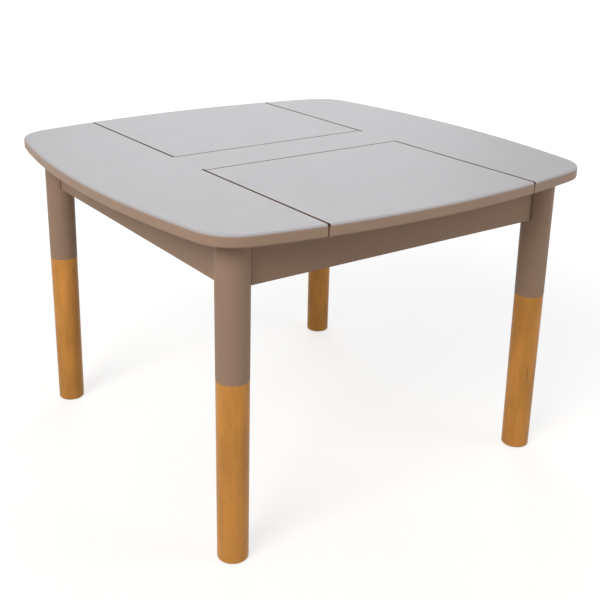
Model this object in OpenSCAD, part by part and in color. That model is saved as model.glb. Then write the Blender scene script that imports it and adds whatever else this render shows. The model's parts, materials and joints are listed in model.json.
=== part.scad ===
// Kids table with two flip-up lids over storage trays.
// Millimetres, +Z up, origin on the floor at the centre of the table.
// X runs along the hinge seams, the front lid is on the -Y side.

/* [Table] */
// Width of the top between the middles of its left and right sides
top_width = 750; // [620:1:920]
// Depth of the top between the middles of its front and rear sides
top_depth = 750; // [620:1:920]
// Height of the top's upper face above the floor
table_height = 500; // [380:1:640]

/* [Top panel] */
// Thickness of the top panel and of the lids
top_t = 18; // [16:0.5:24]
// Radius of the bulged sides
side_radius = 1450; // [1000:10:2400]
// Radius of the rounded corners, seen from above
corner_radius = 67; // [30:1:110]
// Round-over along the outer edge
edge_radius = 3; // [1:0.5:5]
// Width of the centre strip between the two lid openings
strip_width = 96; // [70:1:130]
// Width of each side plank at its middle
plank_width = 184; // [176:1:240]
// Length of the saw's overrun at one inner corner of each opening
overcut = 7; // [3:0.5:12]

/* [Lids] */
// Gap between a lid and the planks beside it
side_gap = 2.4; // [1.5:0.1:4]
// Gap between a lid and the centre strip
hinge_gap = 1; // [0.6:0.1:2]
// Depth cut off the frame's upper edge under the lids
lid_relief = 1; // [0.8:0.1:2]
// Free height between a closed lid and its felt buffers
buffer_gap = 0.3; // [0.2:0.05:0.5]
// Diameter of a felt buffer
buffer_d = 7; // [5:0.5:7]

/* [Legs] */
// Distance from the middle of a side to the leg axes
leg_inset = 87; // [75:1:96]
// Diameter of a leg under the top
leg_top_d = 49; // [44:0.5:60]
// Diameter of a leg at the foot
leg_foot_d = 45; // [36:0.5:54]
// Chamfer round the foot
foot_chamfer = 1.5; // [0.5:0.5:3]
// Height of the line where the painted part of a leg ends
paint_line = 279; // [180:1:340]

/* [Frame] */
// Height of the aprons and of the walls inside them
apron_height = 72; // [60:1:100]
// Thickness of the aprons and of the walls inside them
board_t = 18; // [15:0.5:22]
// Distance of an apron's outer face outside the leg axes
apron_outset = 7.5; // [4:0.5:9]
// Depth of the housing in a leg that takes an apron's end
housing_depth = 6; // [4:0.5:8]

/* [Storage trays] */
// Thickness of a tray floor
floor_t = 6; // [4:0.5:8]
// Height of a tray floor's underside above the bottom of the walls
floor_rise = 6; // [4:0.5:10]
// Depth of the grooves that hold a tray floor
groove_depth = 6; // [4:0.5:8]
// Free space between a tray floor's edge and the bottom of its groove
groove_gap = 0.5; // [0.2:0.1:0.8]

/* [Corner blocks] */
// Height of a corner block
block_height = 50; // [44:1:60]
// Thickness of a corner block along the diagonal
block_t = 36; // [34:1:40]
// Gap between a leg and its corner block
block_gap = 3.5; // [2:0.5:5]

/* [Hardware] */
// Diameter of the leg bolts
bolt_d = 8; // [6:1:8]
// Diameter of the hole for a leg bolt in its corner block
bolt_hole_d = 9; // [8.5:0.5:10]
// Diameter of the wood screws
screw_d = 4; // [3.5:0.5:5]
// Length of a screw that joins a corner block to an apron
side_screw_l = 24; // [20:1:26]
// Length of a screw that joins a corner block to the top
top_screw_l = 30; // [26:1:32]
// Diameter of the dowels
dowel_d = 8; // [6:1:10]
// Length of the dowels
dowel_l = 30; // [26:1:40]
// Diameter of a glide's disc
glide_d = 28; // [20:1:30]
// Thickness of a glide's disc
glide_t = 3; // [2.5:0.5:4]
// Height of the leg's end above the floor, which the glide makes up
glide_proud = 1; // [0.5:0.5:2]

/* [Hinges] */
// Diameter of a hinge barrel
barrel_d = 12; // [11:0.25:13]
// Wood between a hinge barrel and the upper face
barrel_cover = 3; // [2:0.25:4]
// Length of a hinge barrel
barrel_l = 20; // [14:1:26]
// Distance of a hinge's middle from the side of the opening
hinge_inset = 60; // [40:1:90]
// Width of a hinge's stack of link plates
link_w = 5; // [4:0.2:6]
// Height of the link plates' section
link_h = 3; // [2.4:0.2:3.4]
// Running clearance round the link plates
link_clear = 0.3; // [0.2:0.05:0.4]

/* [Hidden] */

taupe = "#9b8a7f";
beech = "#c08a4a";
birch = "#dcc59a";
steel = "silver";
brass = "#c9a550";
felt = "#5a5552";
nylon = "#3c3c3c";

eps = 1;  // how far a cut runs past the face it opens

half_x = top_width / 2;
half_y = top_depth / 2;
frame_top = table_height - top_t;
frame_bottom = frame_top - apron_height;

// outline of the top: four side arcs and four corner arcs that meet them tangentially
side_cx = half_x - side_radius;
side_cy = half_y - side_radius;
centre_reach = side_radius - corner_radius;
centre_gap = norm([side_cx, side_cy]);
bisector = sqrt(pow(centre_reach, 2) - pow(centre_gap / 2, 2));
corner_x = side_cx / 2 + bisector * abs(side_cy) / centre_gap;
corner_y = side_cy / 2 + bisector * abs(side_cx) / centre_gap;
side_x_angle = atan2(corner_y, corner_x - side_cx);
side_y_angle = atan2(corner_x, corner_y - side_cy);
core_share = 0.4;  // how far the flat middle of the top runs into a corner, as a share of its radius
core_x = corner_x + core_share * corner_radius;
core_y = corner_y + core_share * corner_radius;
rim_overlap = 5;  // how far the rims run in over the flat middle
corner_lap = 0.5;  // degrees that a corner's rim runs on into its neighbours
corner_step = 0.05;  // how far a corner's rim lies inside theirs, so that the two never coincide

// seams and hinges
opening_width = top_width - 2 * plank_width;
lid_width = opening_width - 2 * side_gap;
seam_x = opening_width / 2 - side_gap / 2;
hinge_y = strip_width / 2 + hinge_gap / 2;
hinge_x = opening_width / 2 - hinge_inset;
link_r = barrel_cover + barrel_d / 2;  // the link plates curve round the hinge line through the barrels' axes
slot_wall = 0.3;  // metal left round a barrel's link slot
slot_reach = sqrt(pow(barrel_d / 2 - slot_wall, 2) - pow(link_w / 2 + link_clear, 2));
slot_half_angle = acos((link_r - slot_reach) / (link_r - link_h / 2 - link_clear));
link_short = 3;  // degrees by which the link plates end short of their slots
link_half_angle = slot_half_angle - link_short;
plates = 3;
plate_gap = 0.4;
plate_w = (link_w - (plates - 1) * plate_gap) / plates;
rivet_d = 2;

// frame
leg_x = half_x - leg_inset;
leg_y = half_y - leg_inset;
apron_end = leg_top_d / 2 - housing_depth;
apron_inner = board_t - apron_outset;  // from a leg axis inwards to the aprons' inner faces
inner_x = leg_x - apron_inner;
inner_y = leg_y - apron_inner;

// storage trays
tray_x = seam_x - board_t / 2;
tray_near_y = hinge_y + board_t / 2;
floor_z = frame_bottom + floor_rise;

// corner blocks and their hardware, measured from a leg axis
block_near = leg_top_d / 2 + block_gap;
block_far = block_near + block_t;
bolt_z = frame_top - block_height / 2;
bolt_depth = 8;  // how far the bolt runs past the leg axis
bolt_spare = 1;
bolt_end = 3;
washer_d = 24;
washer_t = 2;
washer_hole_d = bolt_d + 0.4;
nut_af = bolt_d + 5;
nut_h = 6.5;
head_d = 2 * screw_d;
head_h = 2.4;
head_hole_d = head_d + 1;
side_screw_seat = apron_inner + side_screw_l / 2;
side_screw_sink = 6;  // how deep a side screw's head lies in its block
side_screw_x = block_far * sqrt(2) - side_screw_seat - side_screw_sink;
top_screw_wall = 8;  // from an apron's inner face to the axis of a top screw
top_screw_u = (block_near + block_far) / 2;
top_screw_v = top_screw_u - sqrt(2) * (apron_inner + top_screw_wall);
top_screw_seat = 20;  // depth of the screw's head under the top

dowel_deep = 12;  // how far a dowel sits in the board that it enters sideways
dowel_spare = 1;
dowel_wall = 8;  // wood between a dowel and the tray floor, and above a dowel
dowel_z = [
    floor_z + floor_t + dowel_wall + dowel_d / 2,
    frame_top - lid_relief - dowel_wall - dowel_d / 2
];

buffer_t = lid_relief - buffer_gap;
buffer_x = tray_x - 50;
buffer_y = hinge_y + 46;
edge_buffer_x = (tray_x + lid_width / 2) / 2;  // over the part of an inner wall that lies under a lid

stem_d = 6;
stem_l = 16;
glide_bevel = 0.5;

// ---- placing ----

module at_front() {
    rotate([0, 0, 180])
        children();
}

// children stand at the front left leg's axis, with +X and +Y running under the table
module at_leg(side, end) {
    translate([side * leg_x, end * leg_y, 0])
        mirror([side > 0 ? 1 : 0, 0, 0])
            mirror([0, end > 0 ? 1 : 0, 0])
                children();
}

module at_each_leg() {
    for (side = [-1, 1], end = [-1, 1])
        at_leg(side, end)
            children();
}

// children's +X runs along the diagonal, from the leg axis inwards
module along_diagonal() {
    translate([0, 0, bolt_z])
        rotate([0, 0, 45])
            rotate([0, 90, 0])
                children();
}

// children are at the middle of each of the rear lid's hinges, on the hinge line
module at_rear_hinges() {
    for (x = [-hinge_x, hinge_x])
        translate([x, hinge_y, table_height])
            children();
}

// ---- top and lids ----

module rim_profile(inner, outer) {
    translate([inner, 0])
        square([outer - edge_radius - inner, top_t]);
    translate([inner, edge_radius])
        square([outer - inner, top_t - 2 * edge_radius]);
    for (z = [edge_radius, top_t - edge_radius])
        translate([outer - edge_radius, z])
            circle(r = edge_radius, $fn = 48);
}

// one bulged side, from the core out to the round-over
module side_sector(centre, core, half_angle) {
    translate([centre, 0, 0])
        rotate([0, 0, -half_angle])
            rotate_extrude(angle = 2 * half_angle, $fn = 720)
                rim_profile(core - centre - rim_overlap, side_radius);
}

module corner_sector() {
    translate([corner_x, corner_y, 0])
        rotate([0, 0, side_x_angle - corner_lap])
            rotate_extrude(angle = 90 - side_x_angle - side_y_angle + 2 * corner_lap, $fn = 256)
                rim_profile(rim_overlap, corner_radius - corner_step);
}

// the whole top before the lids are cut out of it
module top_blank() {
    translate([0, 0, frame_top]) {
        translate([-core_x, -core_y, 0])
            cube([2 * core_x, 2 * core_y, top_t]);
        for (turn = [0, 180]) {
            rotate([0, 0, turn])
                side_sector(side_cx, core_x, side_x_angle);
            rotate([0, 0, turn + 90])
                side_sector(side_cy, core_y, side_y_angle);
        }
        for (mx = [0, 1], my = [0, 1])
            mirror([mx, 0, 0])
                mirror([0, my, 0])
                    corner_sector();
    }
}

// the space of the rear lid opening, from z0 up past the top
module rear_opening(z0) {
    translate([-opening_width / 2, strip_width / 2, z0])
        cube([opening_width, half_y, table_height - z0 + eps]);
}

module rear_overcut() {
    translate([opening_width / 2 - side_gap, strip_width / 2 - overcut, frame_top - eps])
        cube([side_gap, overcut + eps, top_t + 2 * eps]);
}

module rear_barrel_bores() {
    at_rear_hinges()
        translate([0, 0, -link_r])
            rotate([90, 0, 0])
                cylinder(d = barrel_d, h = 2 * barrel_l + hinge_gap, center = true, $fn = 48);
}

module top_screw_holes() {
    at_each_leg()
        top_screw_axes()
            cylinder(d = screw_d, h = top_screw_l, $fn = 32);
}

module top_panel() {
    color(taupe)
        difference() {
            top_blank();
            rear_opening(frame_top - eps);
            at_front()
                rear_opening(frame_top - eps);
            rear_overcut();
            at_front()
                rear_overcut();
            rear_barrel_bores();
            at_front()
                rear_barrel_bores();
            top_screw_holes();
        }
}

module rear_lid() {
    color(taupe)
        difference() {
            intersection() {
                top_blank();
                translate([-lid_width / 2, strip_width / 2 + hinge_gap, frame_top - eps])
                    cube([lid_width, half_y, top_t + 2 * eps]);
            }
            rear_barrel_bores();
        }
}

module front_lid() {
    at_front()
        rear_lid();
}

module rear_lid_buffers() {
    color(felt)
        for (side = [-1, 1]) {
            translate([side * buffer_x, inner_y + board_t / 2, frame_top - lid_relief])
                cylinder(d = buffer_d, h = buffer_t, $fn = 32);
            translate([side * edge_buffer_x, buffer_y, frame_top - lid_relief])
                cylinder(d = buffer_d, h = buffer_t, $fn = 32);
        }
}

module front_lid_buffers() {
    at_front()
        rear_lid_buffers();
}

// ---- hinges: barrels in the strip and the lid, joined by link plates that curve round the hinge line ----

// a ring sector round the hinge line, its angles counted from straight down towards the lid
module hinge_ring(from, to, section, width, clear) {
    rotate([0, 90, 0])
        rotate([0, 0, from])
            rotate_extrude(angle = to - from, $fn = 256)
                translate([link_r, 0])
                    square([section + 2 * clear, width + 2 * clear], center = true);
}

module rear_fixed_barrels() {
    color(brass)
        at_rear_hinges()
            difference() {
                translate([0, -hinge_gap / 2, -link_r])
                    rotate([90, 0, 0])
                        cylinder(d = barrel_d, h = barrel_l, $fn = 48);
                hinge_ring(-slot_half_angle, 0, link_h, link_w, link_clear);
            }
}

module rear_lid_barrels() {
    color(brass)
        at_rear_hinges()
            difference() {
                translate([0, hinge_gap / 2, -link_r])
                    rotate([-90, 0, 0])
                        cylinder(d = barrel_d, h = barrel_l, $fn = 48);
                hinge_ring(0, slot_half_angle, link_h, link_w, link_clear);
            }
}

module rear_hinge_links() {
    color(steel)
        at_rear_hinges() {
            for (i = [0 : plates - 1])
                translate([(i - (plates - 1) / 2) * (plate_w + plate_gap), 0, 0])
                    hinge_ring(-link_half_angle, link_half_angle, link_h, plate_w, 0);
            translate([0, 0, -link_r])
                rotate([0, 90, 0])
                    cylinder(d = rivet_d, h = link_w, center = true, $fn = 32);
        }
}

module front_fixed_barrels() {
    at_front()
        rear_fixed_barrels();
}

module front_lid_barrels() {
    at_front()
        rear_lid_barrels();
}

module front_hinge_links() {
    at_front()
        rear_hinge_links();
}

// ---- legs ----

// radius of the tapered leg at a height above the floor
function leg_r(z) =
    (leg_foot_d + (leg_top_d - leg_foot_d) * (z - glide_proud) / (frame_top - glide_proud)) / 2;

module leg_lower() {
    rotate_extrude($fn = 96)
        polygon([
            [0, glide_proud],
            [leg_r(glide_proud) - foot_chamfer, glide_proud],
            [leg_r(glide_proud + foot_chamfer), glide_proud + foot_chamfer],
            [leg_r(paint_line), paint_line],
            [0, paint_line]
        ]);
}

module leg_upper() {
    rotate_extrude($fn = 96)
        polygon([
            [0, paint_line],
            [leg_r(paint_line), paint_line],
            [leg_r(frame_top), frame_top],
            [0, frame_top]
        ]);
}

// the two housings for the aprons' ends
module leg_housings() {
    translate([apron_end, -apron_outset, frame_bottom])
        cube([leg_top_d, board_t, apron_height + eps]);
    translate([-apron_outset, apron_end, frame_bottom])
        cube([board_t, leg_top_d, apron_height + eps]);
}

module leg() {
    color(beech)
        difference() {
            leg_lower();
            glide();
        }
    color(taupe)
        difference() {
            leg_upper();
            leg_housings();
            along_diagonal()
                translate([0, 0, -bolt_depth - bolt_spare])
                    cylinder(d = bolt_d, h = leg_top_d, $fn = 48);
        }
}

module glide() {
    color(nylon)
        rotate_extrude($fn = 64)
            polygon([
                [0, 0],
                [glide_d / 2 - glide_bevel, 0],
                [glide_d / 2, glide_bevel],
                [glide_d / 2, glide_t],
                [stem_d / 2, glide_t],
                [stem_d / 2, glide_t + stem_l],
                [0, glide_t + stem_l]
            ]);
}

module leg_glides() {
    at_each_leg()
        glide();
}

// ---- frame ----

// what is cut from the frame's upper edge under both lids
module lid_reliefs() {
    rear_opening(frame_top - lid_relief);
    at_front()
        rear_opening(frame_top - lid_relief);
}

// the space of the rear tray's floor, with the grooves that hold its edges
module rear_floor_space(gap) {
    reach = groove_depth - gap;
    translate([-tray_x - reach, tray_near_y - reach, floor_z])
        cube([2 * (tray_x + reach), inner_y - tray_near_y + 2 * reach, floor_t]);
}

module both_floor_spaces() {
    rear_floor_space(0);
    at_front()
        rear_floor_space(0);
}

module rear_tray_floor() {
    color(birch)
        rear_floor_space(groove_gap);
}

module front_tray_floor() {
    at_front()
        rear_tray_floor();
}

module rear_apron() {
    length = 2 * (leg_x - apron_end);
    color(taupe)
        difference() {
            translate([-length / 2, inner_y, frame_bottom])
                cube([length, board_t, apron_height]);
            lid_reliefs();
            both_floor_spaces();
            inner_wall_dowel_row(dowel_spare);
            apron_screw_row();
            bolt_bore_row();
        }
}

module front_apron() {
    at_front()
        rear_apron();
}

module right_apron() {
    length = 2 * (leg_y - apron_end);
    color(taupe)
        difference() {
            translate([inner_x, -length / 2, frame_bottom])
                cube([board_t, length, apron_height]);
            apron_screw_row();
            bolt_bore_row();
        }
}

module left_apron() {
    at_front()
        right_apron();
}

module right_inner_wall() {
    color(taupe)
        difference() {
            translate([tray_x, -inner_y, frame_bottom])
                cube([board_t, 2 * inner_y, apron_height]);
            lid_reliefs();
            both_floor_spaces();
            inner_wall_dowel_row(dowel_spare);
            centre_wall_dowel_row(dowel_spare);
        }
}

module left_inner_wall() {
    at_front()
        right_inner_wall();
}

module rear_centre_wall() {
    color(taupe)
        difference() {
            translate([-tray_x, hinge_y - board_t / 2, frame_bottom])
                cube([2 * tray_x, board_t, apron_height]);
            lid_reliefs();
            both_floor_spaces();
            centre_wall_dowel_row(dowel_spare);
        }
}

module front_centre_wall() {
    at_front()
        rear_centre_wall();
}

// dowels between the inner walls and the front and rear aprons
module inner_wall_dowel_row(spare) {
    for (turn = [0, 180], x = [-seam_x, seam_x], z = dowel_z)
        rotate([0, 0, turn])
            translate([x, inner_y + dowel_deep + spare, z])
                rotate([90, 0, 0])
                    cylinder(d = dowel_d, h = dowel_l + 2 * spare, $fn = 32);
}

// dowels between the centre walls and the inner walls
module centre_wall_dowel_row(spare) {
    for (turn = [0, 180], y = [-hinge_y, hinge_y], z = dowel_z)
        rotate([0, 0, turn])
            translate([tray_x + dowel_deep + spare, y, z])
                rotate([0, -90, 0])
                    cylinder(d = dowel_d, h = dowel_l + 2 * spare, $fn = 32);
}

module inner_wall_dowels() {
    color(birch)
        inner_wall_dowel_row(0);
}

module centre_wall_dowels() {
    color(birch)
        centre_wall_dowel_row(0);
}

// ---- corner blocks and their hardware ----

module leg_block() {
    near = block_near * sqrt(2);
    far = block_far * sqrt(2);
    color(birch)
        difference() {
            translate([0, 0, frame_top - block_height])
                linear_extrude(block_height)
                    polygon([
                        [apron_inner, near - apron_inner],
                        [near - apron_inner, apron_inner],
                        [far - apron_inner, apron_inner],
                        [apron_inner, far - apron_inner]
                    ]);
            bolt_bore();
            apron_screw_axes() {
                cylinder(d = screw_d, h = side_screw_l, $fn = 32);
                screw_head_hole(block_t);
            }
            top_screw_axes() {
                cylinder(d = screw_d, h = top_screw_l, $fn = 32);
                screw_head_hole(block_height);
            }
        }
}

// a leg bolt's clearance hole, from the leg axis to past the block
module bolt_bore() {
    along_diagonal()
        cylinder(d = bolt_hole_d, h = block_far + eps, $fn = 48);
}

// the same holes where thick aprons reach into their way
module bolt_bore_row() {
    at_each_leg()
        bolt_bore();
}

// children's +Z runs from a screw's head to its point
module apron_screw_axes() {
    translate([side_screw_x, side_screw_seat, bolt_z])
        rotate([90, 0, 0])
            children();
    translate([side_screw_seat, side_screw_x, bolt_z])
        rotate([0, -90, 0])
            children();
}

module top_screw_axes() {
    for (v = [-top_screw_v, top_screw_v])
        translate([(top_screw_u - v) / sqrt(2), (top_screw_u + v) / sqrt(2), frame_top - top_screw_seat])
            children();
}

// the countersunk seat of a screw's head and the way to it
module screw_head_hole(reach) {
    cylinder(d1 = head_d, d2 = screw_d, h = head_h, $fn = 32);
    translate([0, 0, -reach])
        cylinder(d = head_hole_d, h = reach, $fn = 32);
}

module screw(length) {
    cylinder(d1 = head_d, d2 = screw_d, h = head_h, $fn = 32);
    cylinder(d = screw_d, h = length, $fn = 32);
}

module apron_screw_row() {
    at_each_leg()
        apron_screw_axes()
            cylinder(d = screw_d, h = side_screw_l, $fn = 32);
}

module apron_screws() {
    color(steel)
        at_each_leg()
            apron_screw_axes()
                screw(side_screw_l);
}

module top_screws() {
    color(steel)
        at_each_leg()
            top_screw_axes()
                screw(top_screw_l);
}

module leg_bolts() {
    length = bolt_depth + block_far + washer_t + nut_h + bolt_end;
    color(steel)
        at_each_leg()
            along_diagonal()
                translate([0, 0, -bolt_depth])
                    cylinder(d = bolt_d, h = length, $fn = 48);
}

module leg_washers() {
    color(steel)
        at_each_leg()
            along_diagonal()
                translate([0, 0, block_far])
                    difference() {
                        cylinder(d = washer_d, h = washer_t, $fn = 64);
                        translate([0, 0, -eps])
                            cylinder(d = washer_hole_d, h = washer_t + 2 * eps, $fn = 48);
                    }
}

module leg_nuts() {
    color(steel)
        at_each_leg()
            along_diagonal()
                translate([0, 0, block_far + washer_t])
                    difference() {
                        cylinder(d = nut_af / cos(30), h = nut_h, $fn = 6);
                        translate([0, 0, -eps])
                            cylinder(d = bolt_d, h = nut_h + 2 * eps, $fn = 48);
                    }
}

// ---- the nodes ----

top_panel();
front_lid();
rear_lid();
at_leg(-1, -1) leg();  // front_left_leg
at_leg(1, -1) leg();  // front_right_leg
at_leg(-1, 1) leg();  // rear_left_leg
at_leg(1, 1) leg();  // rear_right_leg
front_apron();
rear_apron();
left_apron();
right_apron();
left_inner_wall();
right_inner_wall();
front_centre_wall();
rear_centre_wall();
front_tray_floor();
rear_tray_floor();
at_leg(-1, -1) leg_block();  // front_left_block
at_leg(1, -1) leg_block();  // front_right_block
at_leg(-1, 1) leg_block();  // rear_left_block
at_leg(1, 1) leg_block();  // rear_right_block
leg_bolts();
leg_washers();
leg_nuts();
apron_screws();
top_screws();
inner_wall_dowels();
centre_wall_dowels();
front_fixed_barrels();
front_lid_barrels();
front_hinge_links();
rear_fixed_barrels();
rear_lid_barrels();
rear_hinge_links();
front_lid_buffers();
rear_lid_buffers();
leg_glides();
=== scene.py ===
"""Kids table with storage: a low square table with bulged sides, two-tone legs and two flush lids.

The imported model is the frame. Each piece here sits where the frame's own piece sits, rides on the same
body and carries the finish. Metres, +Z up, the front lid on the -Y side.
"""

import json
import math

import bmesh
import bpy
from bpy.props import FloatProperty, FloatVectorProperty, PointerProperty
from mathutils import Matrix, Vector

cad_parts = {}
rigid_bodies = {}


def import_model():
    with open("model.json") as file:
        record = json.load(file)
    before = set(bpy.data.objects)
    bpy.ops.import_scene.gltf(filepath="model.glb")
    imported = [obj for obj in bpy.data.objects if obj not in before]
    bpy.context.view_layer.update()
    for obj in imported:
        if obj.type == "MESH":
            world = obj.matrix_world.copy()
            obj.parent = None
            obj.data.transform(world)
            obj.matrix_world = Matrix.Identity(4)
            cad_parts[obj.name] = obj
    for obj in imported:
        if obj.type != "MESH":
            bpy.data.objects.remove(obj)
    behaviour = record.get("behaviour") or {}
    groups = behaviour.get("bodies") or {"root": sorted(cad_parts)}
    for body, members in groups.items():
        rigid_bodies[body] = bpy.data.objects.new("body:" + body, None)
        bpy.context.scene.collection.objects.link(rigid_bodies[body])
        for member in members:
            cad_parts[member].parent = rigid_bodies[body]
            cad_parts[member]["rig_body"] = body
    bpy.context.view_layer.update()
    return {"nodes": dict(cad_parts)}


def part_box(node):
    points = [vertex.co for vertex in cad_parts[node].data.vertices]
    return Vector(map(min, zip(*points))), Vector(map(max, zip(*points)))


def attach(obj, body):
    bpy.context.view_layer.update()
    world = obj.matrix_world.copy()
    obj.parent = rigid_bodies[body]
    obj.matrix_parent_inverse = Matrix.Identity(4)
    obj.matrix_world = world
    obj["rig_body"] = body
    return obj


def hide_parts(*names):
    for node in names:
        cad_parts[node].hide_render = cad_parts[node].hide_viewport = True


bl_info = {
    "name": "Kids Table with Storage",
    "version": (1, 0, 0),
    "blender": (4, 5, 0),
    "location": "View3D > Sidebar > Kids Table",
    "description": "Builds the painted top, lids, legs, frame, hinges and hardware of a kids table",
    "category": "Add Mesh",
}

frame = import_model()

PICTURE = 600  # the image's width and height in pixels
SENSOR = 36.0  # the camera's sensor in millimetres
WELD = 1e-6  # points nearer than this are one point
PAST = 0.01  # how far a cutter runs past the face that it opens
RIM_STEP = 0.003  # a board's straight edges are longer than this, the steps round its bores shorter
SHARP = math.radians(40)  # edges that turn by more than this are eased
CREASE = math.radians(35)  # a thread's edges that turn by more than this are shaded sharp
FLAT = math.radians(0.5)  # triangles that turn by less than this are one face
QUARTER = math.radians(90)
FULL_TURN = math.radians(360)
ENDS = ("front", "rear")
SIDES = ("left", "right")


# ---- settings ----


def metres(name, about, default, least=0.0):
    """Declares a size in metres."""
    return FloatProperty(
        name=name, description=about, default=default, min=least, precision=5, unit="LENGTH")


def angle(name, about, degrees):
    """Declares an angle."""
    return FloatProperty(
        name=name, description=about, default=math.radians(degrees), subtype="ANGLE")


def factor(name, about, default):
    """Declares a share from 0 to 1."""
    return FloatProperty(
        name=name, description=about, default=default, min=0, max=1, subtype="FACTOR")


def spot(name, about, default):
    """Declares a place in metres."""
    return FloatVectorProperty(
        name=name, description=about, default=default, size=3, precision=4,
        subtype="TRANSLATION", unit="LENGTH")


def swatch(name, about, default):
    """Declares a colour."""
    return FloatVectorProperty(
        name=name, description=about, default=default, size=3, min=0, max=1, subtype="COLOR")


class TimberSettings(bpy.types.PropertyGroup):
    """Sizes of the wooden pieces"""

    side_radius: metres("Side Radius", "Radius of the bulged sides of the top", 1.45, 1.0)
    corner_radius: metres(
        "Corner Radius", "Radius of the top's rounded corners, seen from above", 0.067, 0.03)
    edge_radius: metres("Edge Radius", "Round-over along the top's outer edge", 0.003, 0.001)
    overcut: metres(
        "Saw Overrun", "Length of the saw's overrun at one inner corner of each opening", 0.007, 0.003)
    seam_ease: metres("Seam Ease", "Rounding of the sawn edges along the seams", 0.0006, 0.0002)
    board_ease: metres(
        "Board Ease", "Rounding of the edges of the legs and the frame's boards", 0.00045, 0.0001)
    paint_line: metres(
        "Paint Line", "Height of the line where the painted part of a leg ends", 0.279, 0.1)
    paint_build: metres(
        "Paint Build", "How much the paint stands proud of the bare wood at the paint line", 0.00012)
    foot_radius: metres("Foot Radius", "Radius of a leg at its foot", 0.0225, 0.015)
    foot_chamfer: metres("Foot Chamfer", "Chamfer round the foot", 0.0015, 0.0005)
    housing_gap: metres("Housing Gap", "Free space round an apron's end in its leg", 0.0006, 0.0001)


class HardwareSettings(bpy.types.PropertyGroup):
    """Sizes of the bolts, nuts, screws and glides"""

    bolt_pitch: metres("Bolt Pitch", "Thread pitch of the leg bolts", 0.00125, 0.0005)
    screw_pitch: metres("Screw Pitch", "Thread pitch of the wood screws", 0.0018, 0.0008)
    nut_width: metres("Nut Width", "Width of a nut across its flats", 0.013, 0.008)
    screw_head: metres("Screw Head", "Height of a wood screw's head", 0.0024, 0.001)
    glide_disc: metres("Glide Disc", "Thickness of a glide's disc", 0.003, 0.001)
    metal_ease: metres(
        "Metal Ease", "Rounding of the edges of the metal, felt and nylon pieces", 0.00025, 0.0001)


class FinishSettings(bpy.types.PropertyGroup):
    """Colours of the finishes"""

    # partly painted light: the upper faces are paler and cooler than the taupe partly because of the
    # stronger light from above
    lit_top_lacquer: swatch("Top Lacquer", "Colour of the upper faces", (0.507, 0.501, 0.525))
    taupe_paint: swatch(
        "Taupe Paint", "Colour of the edges, the frame and the upper legs", (0.400, 0.268, 0.190))
    # painted highlight along the planks' edges of the side seams
    seam_highlight: swatch(
        "Seam Highlight", "Colour where the paint is rubbed thin along the side seams", (0.62, 0.56, 0.49))
    # painted shade, in a sawn-board brown, just inside the side seams
    sawn_brown_shade: swatch(
        "Sawn Brown Shade", "Colour of the sawn board just inside the side seams", (0.095, 0.040, 0.014))
    # painted shade just inside the hinge seams; the two sizes below set how far the seams' painted shade
    # reaches and fades
    hinge_seam_shade: swatch(
        "Hinge Seam Shade", "Colour of the edges just inside the hinge seams", (0.060, 0.058, 0.060))
    seam_shade_reach: metres(
        "Seam Reach", "How far the dark edge of a hinge seam reaches onto the upper faces", 0.0013)
    seam_shade_fade: metres(
        "Seam Fade", "Depth at which the dark edges of the seams have faded out", 0.006, 0.001)
    # painted shade: the colour that darkens the aprons' paint in the corners by the legs
    corner_shade_brown: swatch(
        "Corner Shade Brown", "Colour of the paint in the corners by the legs", (0.150, 0.092, 0.060))
    beech: swatch("Beech", "Middle tone of the clear-finished legs", (0.785, 0.350, 0.074))
    birch_ply: swatch("Birch Ply", "Middle tone of the tray floors", (0.690, 0.530, 0.330))
    planed_wood: swatch(
        "Planed Wood", "Middle tone of the corner blocks and dowels", (0.660, 0.460, 0.250))
    zinc: swatch("Zinc", "Colour of the zinc-plated fixings", (0.62, 0.64, 0.67))
    brass: swatch("Brass", "Colour of the hinge barrels", (0.78, 0.56, 0.23))
    steel: swatch("Steel", "Colour of the hinge plates", (0.56, 0.56, 0.57))
    felt: swatch("Felt", "Middle tone of the felt buffers", (0.115, 0.107, 0.100))
    nylon: swatch("Nylon", "Middle tone of the glides", (0.036, 0.036, 0.037))
    paint_roughness: factor("Paint Roughness", "Roughness of the satin paint", 0.52)
    knot_place: spot(
        "Knot", "Place of the small knot on the rear left leg", (-0.2790, 0.2673, 0.2545))


class StageSettings(bpy.types.PropertyGroup):
    """Camera, floor and lamps"""

    camera_place: spot("Camera", "Place of the camera", (-0.9120, -1.2961, 0.8785))
    camera_turn: angle("Turn", "Heading of the camera, from +X towards +Y", 55.693)
    camera_dip: angle("Dip", "How far the camera looks down", 17.903)
    camera_roll: angle("Roll", "Turn of the camera about its own line of sight", 0.716)
    focal_pixels: FloatProperty(
        name="Focal Length", description="Focal length in pixels of the picture",
        default=979.1, min=100)
    centre_pixels: FloatVectorProperty(
        name="Image Centre", description="Pixel that the camera's line of sight meets",
        default=(274.0, 225.0), size=2)
    floor_size: metres("Floor Size", "Half the width of the floor", 14.0, 2.0)
    floor_drop: metres("Floor Drop", "How far the floor lies under the glides", 0.0002)
    near_glow: factor(
        "Near Glow", "Light on the floor by the table that only the camera and reflections see", 0.70)
    far_glow: factor("Far Glow", "The same light where the lamps no longer reach", 0.87)
    ambient: factor("Ambient", "Strength of the even light from all round", 0.30)


# ---- meshes ----


def aimed(place, direction):
    """Gives the matrix that puts the origin at a place and turns +Z to a direction."""
    turn = direction.to_track_quat("Z", "Y").to_matrix().to_4x4()
    return Matrix.Translation(place) @ turn


def middle_of(box):
    """Gives the middle of a box."""
    return (box[0] + box[1]) / 2


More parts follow.
